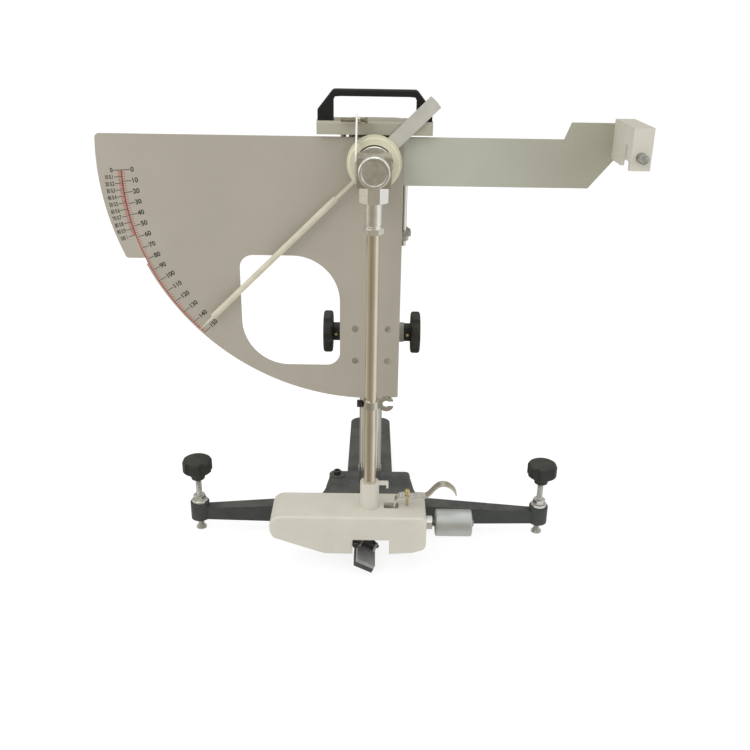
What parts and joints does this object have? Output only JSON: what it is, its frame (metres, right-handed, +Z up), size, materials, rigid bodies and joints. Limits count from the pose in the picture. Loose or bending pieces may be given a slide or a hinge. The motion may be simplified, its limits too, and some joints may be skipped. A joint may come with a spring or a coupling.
{
  "type": "pendulum skid resistance tester",
  "caption": "Benchtop pendulum friction tester: swinging arm with a rubber slider, quadrant scale and pointer, release arm, rack-raised head and a levelled T-shaped base.",
  "frame": {"origin": "on the standing plane straight below the spindle, in the plane that the pendulum rod swings in", "axes": "+X to the release arm side along the swing, +Y back to the column and rear leg, +Z up"},
  "size_m": [0.6179, 0.3901, 0.594],
  "materials": {
    "base_paint": "dark grey-green enamel over a rough casting",
    "head_paint": "dull grey-green paint",
    "plate_paint": "thin painted plate with a printed scale",
    "arm_paint": "grey-beige satin paint",
    "cream_paint": "cream-white hammered enamel",
    "cream_nylon": "cream nylon",
    "black_plastic": "black moulded plastic",
    "chrome": "bright chrome plate",
    "steel": "brushed steel",
    "zinc": "bright zinc plate",
    "dark_steel": "blackened steel",
    "aluminium": "machined aluminium",
    "pointer_paint": "thin cream-painted folded strip",
    "brass": "turned brass",
    "rubber": "hard black test rubber",
    "felt": "pressed felt",
    "lens": "level glass over green fluid"
  },
  "bodies": {
    "base": {"base_casting": "base_paint", "column": "chrome", "column_rack": "steel", "ear_screw": "dark_steel", "level_housing": "aluminium", "level_glass": "lens", "level_bushes": "zinc", "level_lock_nuts": "zinc"},
    "level_screw_left": {"level_stud_left": "zinc"},
    "level_screw_right": {"level_stud_right": "zinc"},
    "level_screw_rear": {"level_stud_rear": "zinc"},
    "level_grip_left": {"level_knob_left": "black_plastic"},
    "level_grip_right": {"level_knob_right": "black_plastic"},
    "level_grip_rear": {"level_knob_rear": "black_plastic"},
    "head": {"head_carriage": "head_paint", "spindle_housing": "steel", "scale_plate": "plate_paint", "plate_screws": "zinc", "release_arm": "arm_paint", "release_box": "cream_paint", "handle_shelf": "head_paint", "carry_handle": "black_plastic", "handle_screws": "zinc", "tie_rods": "zinc", "tie_nuts": "zinc", "felt_washer": "felt"},
    "lift_shaft": {"pinion_shaft": "steel", "lift_knobs": "black_plastic", "lift_knob_screws": "brass"},
    "clamp": {"clamp_knob": "black_plastic", "clamp_stud": "zinc"},
    "release_pin": {"release_button": "zinc"},
    "pendulum": {"spindle": "steel", "spindle_cap": "steel", "knuckle_block": "steel", "drive_disc": "chrome", "driver_strip": "zinc", "driver_screw": "zinc", "driver_nut": "zinc", "union_nut": "steel", "rod_sleeve": "steel", "rod_jam_nut": "zinc", "pendulum_rod": "chrome", "rod_clip": "zinc", "clip_thumb_screw": "dark_steel", "foot_shell": "cream_paint", "foot_collar": "chrome", "foot_axle": "dark_steel", "weight_stud": "zinc", "weight_nuts": "zinc"},
    "pointer": {"pointer_hub": "cream_nylon", "pointer_blade": "pointer_paint", "pointer_tail": "aluminium"},
    "weight": {"balance_weight": "aluminium"},
    "slider_lever": {"slider_arm": "steel", "lift_handle": "chrome", "limit_screw": "brass"},
    "slider": {"slider_holder": "aluminium", "rubber_slider": "rubber", "rock_pin": "steel"}
  },
  "joints": [
    {"name": "head_lift", "type": "slide", "parent": "base", "child": "head", "axis": [0, 0, 1], "range_m": [-0.004, 0.04]},
    {"name": "lift_turn", "type": "hinge", "parent": "head", "child": "lift_shaft", "pos_m": [0, 0.116, 0.282], "axis": [1, 0, 0], "range_deg": [-26, 255]},
    {"name": "clamp_turn", "type": "hinge", "parent": "head", "child": "clamp", "pos_m": [0, 0.128, 0.5], "axis": [0, 1, 0], "range_deg": [0, 270]},
    {"name": "level_left_travel", "type": "slide", "parent": "base", "child": "level_screw_left", "axis": [0, 0, 1], "range_m": [-0.006, 0.006]},
    {"name": "level_right_travel", "type": "slide", "parent": "base", "child": "level_screw_right", "axis": [0, 0, 1], "range_m": [-0.006, 0.006]},
    {"name": "level_rear_travel", "type": "slide", "parent": "base", "child": "level_screw_rear", "axis": [0, 0, 1], "range_m": [-0.006, 0.006]},
    {"name": "level_left_turn", "type": "hinge", "parent": "level_screw_left", "child": "level_grip_left", "pos_m": [-0.236, 0.076, 0.09], "axis": [0, 0, 1], "range_deg": [-1440, 1440]},
    {"name": "level_right_turn", "type": "hinge", "parent": "level_screw_right", "child": "level_grip_right", "pos_m": [0.236, 0.076, 0.09], "axis": [0, 0, 1], "range_deg": [-1440, 1440]},
    {"name": "level_rear_turn", "type": "hinge", "parent": "level_screw_rear", "child": "level_grip_rear", "pos_m": [0, 0.328, 0.09], "axis": [0, 0, 1], "range_deg": [-1440, 1440]},
    {"name": "release_press", "type": "slide", "parent": "head", "child": "release_pin", "axis": [0, 1, 0], "range_m": [0, 0.006], "stiffness_N_per_m": 600, "springref_m": -0.003},
    {"name": "pendulum_swing", "type": "hinge", "parent": "head", "child": "pendulum", "pos_m": [0, 0, 0.516], "axis": [0, 1, 0], "range_deg": [-90, 92]},
    {"name": "pointer_turn", "type": "hinge", "parent": "head", "child": "pointer", "pos_m": [0, 0.045, 0.516], "axis": [0, 1, 0], "range_deg": [-134, 44]},
    {"name": "weight_travel", "type": "slide", "parent": "pendulum", "child": "weight", "axis": [1, 0, 0], "range_m": [0, 0.006]},
    {"name": "slider_lift", "type": "hinge", "parent": "pendulum", "child": "slider_lever", "pos_m": [-0.017, 0, 0.046], "axis": [0, 1, 0], "range_deg": [-12, 0], "stiffness_Nm_per_rad": 2.5, "springref_deg": 17.19},
    {"name": "slider_rock", "type": "hinge", "parent": "slider_lever", "child": "slider", "pos_m": [-0.0007, 0, 0.0284], "axis": [0.8988, 0, -0.4384], "range_deg": [-8, 8]}
  ],
  "couplings": [
    {"joint": "lift_turn", "follows": "head_lift", "rad_per_m": 111.11},
    {"joint": "level_left_turn", "follows": "level_left_travel", "rad_per_m": 4188.7},
    {"joint": "level_right_turn", "follows": "level_right_travel", "rad_per_m": 4188.7},
    {"joint": "level_rear_turn", "follows": "level_rear_travel", "rad_per_m": 4188.7}
  ]
}
